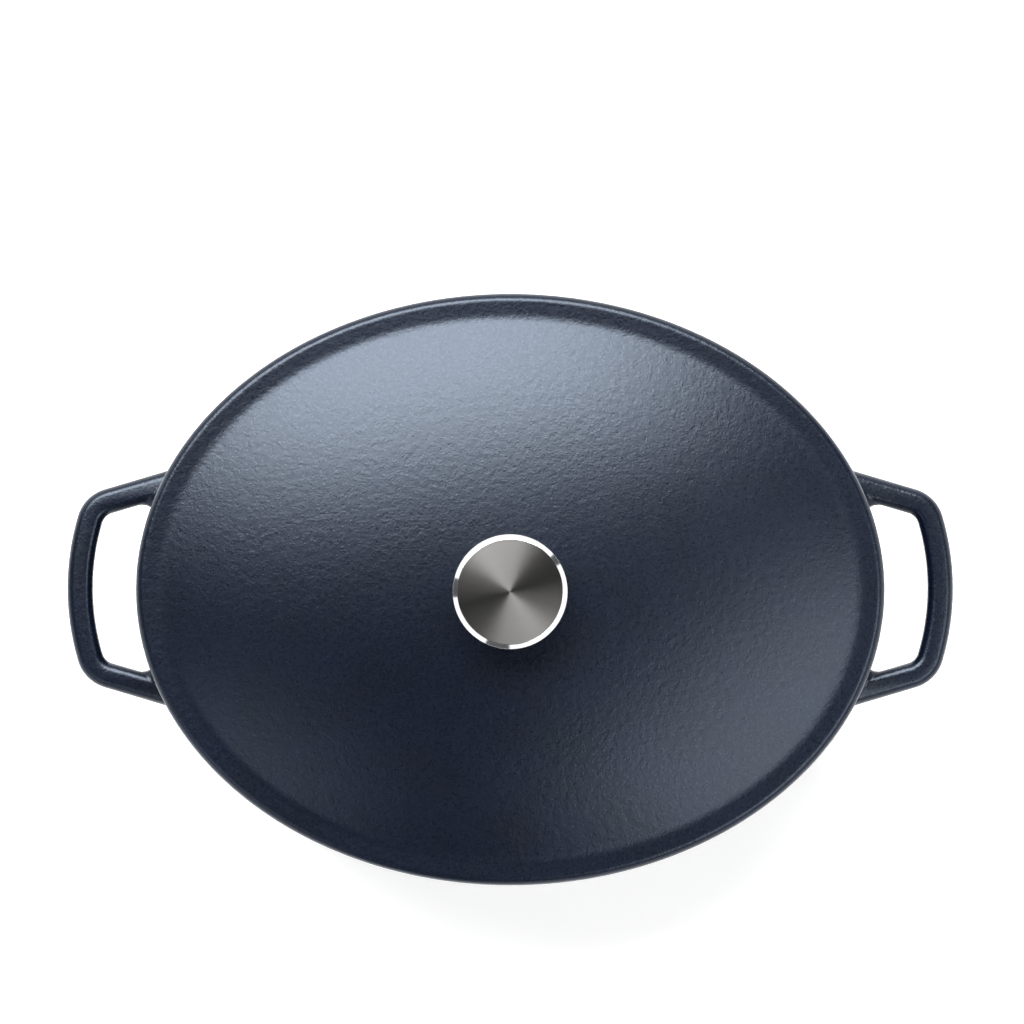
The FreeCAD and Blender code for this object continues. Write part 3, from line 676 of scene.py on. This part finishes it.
class OVEN_OT_lid(bpy.types.Operator):
    """Models the lid's casting, from the screw hole along the underside, round the rim and over the dome"""
    bl_idname = "oven.lid"
    bl_label = "Lid"

    def execute(self, context):
        casting, lid = context.scene.oven_casting, context.scene.oven_lid
        outline = (LID_BOX[1].x, LID_BOX[1].y)
        seat = POT_BOX[1].z + lid.seat_gap
        band = seat + lid.edge_height
        dome_top = band + lid.rise
        under = band - lid.shell
        lip_outside = casting.overhang + rim_land() + lid.lip_clearance
        lip_inside = lip_outside + lid.lip_thickness
        lip_bottom = seat - lid.lip_depth
        rim = inset_from(outline, rounded([
            (lip_inside, under - lid.blend, 0, CREAM),
            (lip_inside, lip_bottom, lid.lip_edge, CREAM),
            (lip_outside + lid.lip_draft, lip_bottom, lid.lip_edge, CREAM),
            (lip_outside, seat, 0, GROUND),
            (0, seat, lid.edge_bottom_radius, NAVY),
            (0, band, lid.edge_top_radius, NAVY),
            (lid.flange, band, 0, NAVY),
        ], casting.arc_steps))
        lip_start = Vector(rim[0][:3])
        band_end = Vector(rim[-1][:3])
        underside = dome_stations(
            lip_start, lip_inside, under, dome_top - lid.shell, CREAM, RIDGE_SHARES)
        topside = dome_stations(band_end, lid.flange + lid.blend, band, dome_top, NAVY)
        seal_radius = SEAL_BOX[1].x + lid.pad_margin
        gasket_radius = GASKET_BOX[1].x + lid.pad_margin
        # Each pad's foot is at the dome's height there, which is a little below that of its middle.
        under_pad = pad_stations(dome_top - lid.shell - 0.1 * MM, SEAL_BOX[1].z, seal_radius, CREAM)
        top_pad = pad_stations(dome_top - 0.25 * MM, GASKET_BOX[0].z, gasket_radius, NAVY)
        stations = under_pad[::-1] + underside[:0:-1] + rim + topside[1:] + top_pad
        bm = bmesh.new()
        first, last = oval_rings(bm, stations, casting.segments)
        bmesh.ops.bridge_loops(bm, edges=first + last)
        finished_piece("lid_casting", bm, "lid", "enamelled_iron", CASTING_FINISHES, "lid")
        return {"FINISHED"}


# ---- Knob

BRUSHED, POLISHED = 0, 1


def polar_map(bm):
    """A UV map with the radius along u and the turn about the knob's axis along v."""
    layer = bm.loops.layers.uv.new("polar")
    for face in bm.faces:
        middle = face.calc_center_median()
        turn = math.atan2(middle.y, middle.x)
        for loop in face.loops:
            place = loop.vert.co
            radius = math.hypot(place.x, place.y)
            swing = 0.0
            if radius > 1e-6:
                swing = Vector((middle.x, middle.y)).angle_signed(Vector((place.x, place.y)))
            loop[layer].uv = (radius, (turn - swing) / math.tau)


class OVEN_OT_knob_disc(bpy.types.Operator):
    """Models the knob's turned steel cap"""
    bl_idname = "oven.knob_disc"
    bl_label = "Knob disc"

    def execute(self, context):
        knob = context.scene.oven_knob
        radius, top = CAP_BOX[1].x, CAP_BOX[1].z
        spigot_z = CAP_BOX[0].z
        under = spigot_z + knob.spigot_depth
        profile = [
            (0, top, 0), (radius - knob.chamfer_width, top, knob.edge_break),
            (radius, top - knob.chamfer_depth, knob.edge_break), (radius, under, knob.under_radius),
            (knob.spigot_radius, under, 0), (knob.spigot_radius, spigot_z, knob.edge_break), (0, spigot_z, 0)]
        bm = bmesh.new()
        verts = [bm.verts.new((r, 0, z)) for r, z, _ in profile]
        for pair in zip(verts, verts[1:]):
            bm.edges.new(pair)
        for vert, (_, _, edge) in zip(verts, profile):
            if edge:
                bmesh.ops.bevel(bm, geom=[vert], offset=edge, segments=4, profile=0.5, affect="VERTICES",
                                offset_type="OFFSET", material=-1)
        bmesh.ops.spin(
            bm, geom=bm.verts[:] + bm.edges[:], cent=(0, 0, 0), axis=(0, 0, 1), angle=math.tau,
            steps=knob.segments, use_merge=True)
        bmesh.ops.remove_doubles(bm, verts=bm.verts, dist=MERGE)
        polar_map(bm)
        for face in bm.faces:
            level_top = face.normal.z ** 2 > 0.99 and face.calc_center_median().z > top - 0.01 * MM
            face.material_index = BRUSHED if level_top else POLISHED
        finished_piece("knob_disc", bm, "lid", "brushed_steel", ("spin_brushed_steel", "polished_steel"),
                       "knob_cap")
        return {"FINISHED"}


class OVEN_OT_fixings(bpy.types.Operator):
    """Finishes the stem, the seals, the screw, its insert and the washers, which keep their frame meshes"""
    bl_idname = "oven.fixings"
    bl_label = "Stem, seals and fixings"

    def execute(self, context):
        for finish, nodes in (
                ("polished_steel", ("knob_stem",)),
                ("black_silicone", ("knob_gasket", "seal_washer")),
                ("zinc_plated_steel", ("knob_screw", "knob_insert", "flat_washer", "lock_washer"))):
            for node in nodes:
                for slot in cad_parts[node].material_slots:
                    slot.material = finish_named(finish)
        return {"FINISHED"}


# ---- Stage

# Each lamp's name, azimuth and angle off the zenith in degrees, and distance, width and length in metres.
LAMPS = (
    ("key", 105, 33, 2.4, 2.0, 1.25),
    ("fill", -34, 33, 1.95, 1.5, 0.7),
    ("kicker", 224, 42, 1.5, 0.6, 0.6),
)
# Each flag's azimuth and spread in degrees.
FLAGS = ((34, 12), (177, 20), (257, 25))


def studio_floor():
    """Matt white studio paper, lit through from below: bright, with a barely visible fibre."""
    stage = bpy.context.scene.oven_stage
    material, tree, shader, place = new_material("studio_floor")
    shades = mottled(tree, place, 60.0, stage.floor_shade, stage.floor_colour)
    tree.links.new(shades, shader.inputs["Base Color"])
    shader.inputs["Roughness"].default_value = 0.9
    shader.inputs["Emission Color"].default_value = (1, 1, 1, 1)
    shader.inputs["Emission Strength"].default_value = stage.floor_glow
    return material


def softbox(name, azimuth, off_zenith, distance, width, length, radiance):
    """A rectangular lamp that faces the lid's middle, placed by azimuth and angle off the zenith."""
    lamp = bpy.data.lights.new(name, "AREA")
    lamp.shape = "RECTANGLE"
    lamp.size, lamp.size_y = width, length
    lamp.energy = radiance * width * length * math.pi
    box = bpy.data.objects.new(name, lamp)
    aim = Vector((0, 0, LID_BOX[1].z))
    azimuth, off_zenith = math.radians(azimuth), math.radians(off_zenith)
    direction = Vector((math.sin(off_zenith) * math.cos(azimuth), math.sin(off_zenith) * math.sin(azimuth),
                        math.cos(off_zenith)))
    box.location = aim + direction * distance
    box.rotation_euler = direction.to_track_quat("Z", "Y").to_euler()
    bpy.context.scene.collection.objects.link(box)


def flag(azimuth, spread):
    """A tall black flag beside the oven, hidden from the camera, that leaves a dark gap in reflections."""
    distance, height, bottom = 1.5, 0.7, 0.2
    bm = bmesh.new()
    bmesh.ops.create_grid(bm, x_segments=1, y_segments=1, size=0.5)
    bmesh.ops.scale(bm, vec=(height, distance * math.radians(spread), 1), verts=bm.verts)
    bmesh.ops.rotate(bm, matrix=Matrix.Rotation(math.radians(90), 3, "Y"), verts=bm.verts)
    bmesh.ops.translate(bm, vec=(distance, 0, bottom + height / 2), verts=bm.verts)
    bmesh.ops.rotate(bm, matrix=Matrix.Rotation(math.radians(azimuth), 3, "Z"), verts=bm.verts)
    mesh = bpy.data.meshes.new(f"flag_{azimuth}")
    bm.to_mesh(mesh)
    bm.free()
    mesh.materials.append(finish_named("black_silicone"))
    card = bpy.data.objects.new(mesh.name, mesh)
    card.visible_camera = card.visible_diffuse = card.visible_shadow = False
    bpy.context.scene.collection.objects.link(card)


class OVEN_OT_stage(bpy.types.Operator):
    """Lays the floor, hangs the lamps and sets the camera above the lid"""
    bl_idname = "oven.stage"
    bl_label = "Stage"

    def execute(self, context):
        stage = context.scene.oven_stage
        bm = bmesh.new()
        bmesh.ops.create_grid(bm, x_segments=4, y_segments=4, size=stage.floor_half)
        mesh = bpy.data.meshes.new("floor")
        bm.to_mesh(mesh)
        bm.free()
        mesh.materials.append(studio_floor())
        floor = bpy.data.objects.new("floor", mesh)
        context.scene.collection.objects.link(floor)

        for name, *place in LAMPS:
            softbox(name, *place, getattr(stage, name + "_radiance"))
        for azimuth, spread in FLAGS:
            flag(azimuth, spread)

        world = bpy.data.worlds.new("studio")
        world.use_nodes = True
        tree = world.node_tree
        tree.nodes.clear()
        ray = add_node(tree, "ShaderNodeTexCoord").outputs["Generated"]
        axes = add_node(tree, "ShaderNodeSeparateXYZ", links={"Vector": ray})
        limits = {"From Min": 0.35, "From Max": 0.65, "To Min": stage.horizon, "To Max": stage.zenith}
        level = add_node(tree, "ShaderNodeMapRange", limits, {"Value": axes.outputs["Z"]})
        white = {"Color": (1, 1, 1, 1)}
        sky = add_node(tree, "ShaderNodeBackground", white, {"Strength": level.outputs["Result"]})
        add_node(tree, "ShaderNodeOutputWorld", links={"Surface": sky.outputs["Background"]})
        context.scene.world = world

        camera = bpy.data.cameras.new("camera")
        camera.sensor_width = 36.0
        camera.lens = camera.sensor_width * stage.camera_height / stage.view_width
        camera.clip_end = 20.0
        holder = bpy.data.objects.new("camera", camera)
        rim_height = POT_BOX[1].z + context.scene.oven_lid.edge_height
        holder.location = (stage.camera_x, stage.camera_y, rim_height + stage.camera_height)
        context.scene.collection.objects.link(holder)
        context.scene.camera = holder
        context.scene.view_settings.view_transform = "Standard"
        return {"FINISHED"}


# ---- Add-on

OPERATORS = (OVEN_OT_pot, OVEN_OT_lid, OVEN_OT_knob_disc, OVEN_OT_fixings, OVEN_OT_stage)


class OVEN_PT_panel(bpy.types.Panel):
    """The oven's pieces and its stage"""
    bl_idname = "OVEN_PT_panel"
    bl_label = "Oven"
    bl_space_type = "VIEW_3D"
    bl_region_type = "UI"
    bl_category = "Oven"

    def draw(self, context):
        for name, group in SETTINGS:
            box = self.layout.box()
            for key in group.__annotations__:
                box.prop(getattr(context.scene, "oven_" + name), key)
        for operator in OPERATORS:
            self.layout.operator(operator.bl_idname)


def register():
    for name, group in SETTINGS:
        bpy.utils.register_class(group)
        setattr(bpy.types.Scene, "oven_" + name, PointerProperty(type=group))
    for part in (*OPERATORS, OVEN_PT_panel):
        bpy.utils.register_class(part)


def unregister():
    for part in reversed((*OPERATORS, OVEN_PT_panel)):
        bpy.utils.unregister_class(part)
    for name, group in reversed(SETTINGS):
        delattr(bpy.types.Scene, "oven_" + name)
        bpy.utils.unregister_class(group)


def main():
    """Makes every piece and the stage."""
    register()
    for operator in OPERATORS:
        getattr(bpy.ops.oven, operator.bl_idname.split(".")[1])()


if __name__ == "__main__":
    main()
